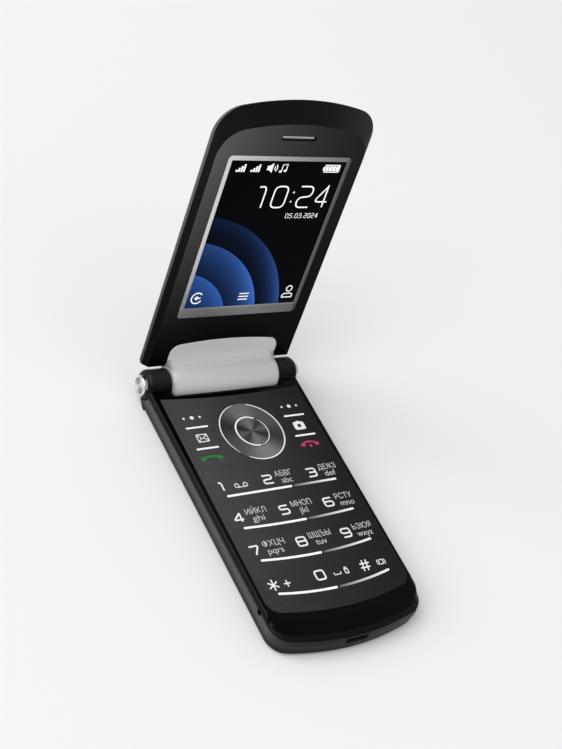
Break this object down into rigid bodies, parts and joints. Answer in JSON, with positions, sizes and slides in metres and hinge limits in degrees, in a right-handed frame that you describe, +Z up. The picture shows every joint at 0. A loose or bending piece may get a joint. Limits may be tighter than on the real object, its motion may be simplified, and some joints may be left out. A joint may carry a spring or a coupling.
{
  "type": "clamshell mobile phone",
  "caption": "Open clamshell mobile phone: a screen half hinged to a flat keypad half with pressable keys, a rocking navigation ring, a slide-off back cover and a charging socket.",
  "frame": {"origin": "middle of the flat back of the keypad half, which rests on the table", "axes": "+Z up out of the keypad, +Y along the phone towards the hinge, +X across to the right as the keypad is read"},
  "size_m": [0.0536, 0.1102, 0.093],
  "materials": {
    "gloss_black": "polished black",
    "lid_panel": "satin dark grey",
    "grey_shell": "matte grey",
    "silver": "satin silver",
    "chrome": "polished",
    "brushed_dark": "dark brushed",
    "light_white": "translucent white",
    "window": "clear, polished",
    "display": "lit panel",
    "board_green": "solder mask",
    "steel": "plain",
    "contact_metal": "plated",
    "battery_can": "wrapped",
    "black_plastic": "matte black",
    "flex_film": "film"
  },
  "bodies": {
    "base": {"keypad_plate": "brushed_dark", "light_bars": "light_white", "dome_sheet": "steel", "main_board": "board_green", "shield_cans": "steel", "card_readers": "steel", "battery": "battery_can", "battery_contacts": "contact_metal", "charging_socket": "steel", "loudspeaker": "black_plastic", "microphone": "black_plastic", "vibration_motor": "steel", "base_screws": "steel", "base_front_housing": "gloss_black", "base_rear_housing": "grey_shell", "hinge_shaft": "steel", "hinge_pin": "steel", "hinge_end_caps": "chrome"},
    "lid": {"hinge_cover": "silver", "hinge_cam_module": "steel", "hinge_bush": "black_plastic", "flex_cable": "flex_film", "lid_front_housing": "lid_panel", "lid_rear_housing": "grey_shell", "screen_frame": "silver", "screen_window": "window", "display_module": "display", "lid_board": "board_green", "earpiece_mesh": "steel", "earpiece": "black_plastic", "camera_window": "window", "camera_module": "black_plastic", "lid_magnet": "steel"},
    "key_1": {"key_1": "brushed_dark"},
    "key_2": {"key_2": "brushed_dark"},
    "key_3": {"key_3": "brushed_dark"},
    "key_4": {"key_4": "brushed_dark"},
    "key_5": {"key_5": "brushed_dark"},
    "key_6": {"key_6": "brushed_dark"},
    "key_7": {"key_7": "brushed_dark"},
    "key_8": {"key_8": "brushed_dark"},
    "key_9": {"key_9": "brushed_dark"},
    "key_star": {"key_star": "brushed_dark"},
    "key_0": {"key_0": "brushed_dark"},
    "key_hash": {"key_hash": "brushed_dark"},
    "key_soft_left": {"key_soft_left": "brushed_dark"},
    "key_soft_right": {"key_soft_right": "brushed_dark"},
    "key_message": {"key_message": "brushed_dark"},
    "key_camera": {"key_camera": "brushed_dark"},
    "key_call": {"key_call": "brushed_dark"},
    "key_end": {"key_end": "brushed_dark"},
    "nav_ring": {"nav_ring": "brushed_dark"},
    "nav_rocker": {"nav_rocker": "black_plastic"},
    "key_select": {"key_select": "brushed_dark"},
    "battery_cover": {"battery_cover": "gloss_black"},
    "vibration_weight": {"vibration_weight": "contact_metal"}
  },
  "joints": [
    {"name": "lid_hinge", "type": "hinge", "parent": "base", "child": "lid", "pos_m": [0, 0.04205, 0.0064], "axis": [-1, 0, 0], "range_deg": [-99.5, 60]},
    {"name": "key_1_press", "type": "slide", "parent": "base", "child": "key_1", "axis": [0, 0, -1], "range_m": [0, 0.0003], "stiffness_N_per_m": 1000},
    {"name": "key_2_press", "type": "slide", "parent": "base", "child": "key_2", "axis": [0, 0, -1], "range_m": [0, 0.0003], "stiffness_N_per_m": 1000},
    {"name": "key_3_press", "type": "slide", "parent": "base", "child": "key_3", "axis": [0, 0, -1], "range_m": [0, 0.0003], "stiffness_N_per_m": 1000},
    {"name": "key_4_press", "type": "slide", "parent": "base", "child": "key_4", "axis": [0, 0, -1], "range_m": [0, 0.0003], "stiffness_N_per_m": 1000},
    {"name": "key_5_press", "type": "slide", "parent": "base", "child": "key_5", "axis": [0, 0, -1], "range_m": [0, 0.0003], "stiffness_N_per_m": 1000},
    {"name": "key_6_press", "type": "slide", "parent": "base", "child": "key_6", "axis": [0, 0, -1], "range_m": [0, 0.0003], "stiffness_N_per_m": 1000},
    {"name": "key_7_press", "type": "slide", "parent": "base", "child": "key_7", "axis": [0, 0, -1], "range_m": [0, 0.0003], "stiffness_N_per_m": 1000},
    {"name": "key_8_press", "type": "slide", "parent": "base", "child": "key_8", "axis": [0, 0, -1], "range_m": [0, 0.0003], "stiffness_N_per_m": 1000},
    {"name": "key_9_press", "type": "slide", "parent": "base", "child": "key_9", "axis": [0, 0, -1], "range_m": [0, 0.0003], "stiffness_N_per_m": 1000},
    {"name": "key_star_press", "type": "slide", "parent": "base", "child": "key_star", "axis": [0, 0, -1], "range_m": [0, 0.0003], "stiffness_N_per_m": 1000},
    {"name": "key_0_press", "type": "slide", "parent": "base", "child": "key_0", "axis": [0, 0, -1], "range_m": [0, 0.0003], "stiffness_N_per_m": 1000},
    {"name": "key_hash_press", "type": "slide", "parent": "base", "child": "key_hash", "axis": [0, 0, -1], "range_m": [0, 0.0003], "stiffness_N_per_m": 1000},
    {"name": "key_soft_left_press", "type": "slide", "parent": "base", "child": "key_soft_left", "axis": [0, 0, -1], "range_m": [0, 0.0003], "stiffness_N_per_m": 1000},
    {"name": "key_soft_right_press", "type": "slide", "parent": "base", "child": "key_soft_right", "axis": [0, 0, -1], "range_m": [0, 0.0003], "stiffness_N_per_m": 1000},
    {"name": "key_message_press", "type": "slide", "parent": "base", "child": "key_message", "axis": [0, 0, -1], "range_m": [0, 0.0003], "stiffness_N_per_m": 1000},
    {"name": "key_camera_press", "type": "slide", "parent": "base", "child": "key_camera", "axis": [0, 0, -1], "range_m": [0, 0.0003], "stiffness_N_per_m": 1000},
    {"name": "key_call_press", "type": "slide", "parent": "base", "child": "key_call", "axis": [0, 0, -1], "range_m": [0, 0.0003], "stiffness_N_per_m": 1000},
    {"name": "key_end_press", "type": "slide", "parent": "base", "child": "key_end", "axis": [0, 0, -1], "range_m": [0, 0.0003], "stiffness_N_per_m": 1000},
    {"name": "key_select_press", "type": "slide", "parent": "base", "child": "key_select", "axis": [0, 0, -1], "range_m": [0, 0.0003], "stiffness_N_per_m": 1000},
    {"name": "nav_rock_sideways", "type": "hinge", "parent": "base", "child": "nav_rocker", "pos_m": [0, 0.02045, 0.00601], "axis": [0, 1, 0], "range_deg": [-2, 2], "stiffness_Nm_per_rad": 0.1},
    {"name": "nav_rock_lengthways", "type": "hinge", "parent": "nav_rocker", "child": "nav_ring", "pos_m": [0, 0.02045, 0.00601], "axis": [1, 0, 0], "range_deg": [-2, 2], "stiffness_Nm_per_rad": 0.1},
    {"name": "battery_cover_slide", "type": "slide", "parent": "base", "child": "battery_cover", "axis": [0, -1, 0], "range_m": [0, 0.09]},
    {"name": "vibration_spin", "type": "hinge", "parent": "base", "child": "vibration_weight", "pos_m": [-0.0166, -0.0394, 0.003], "axis": [1, 0, 0], "continuous": true}
  ]
}
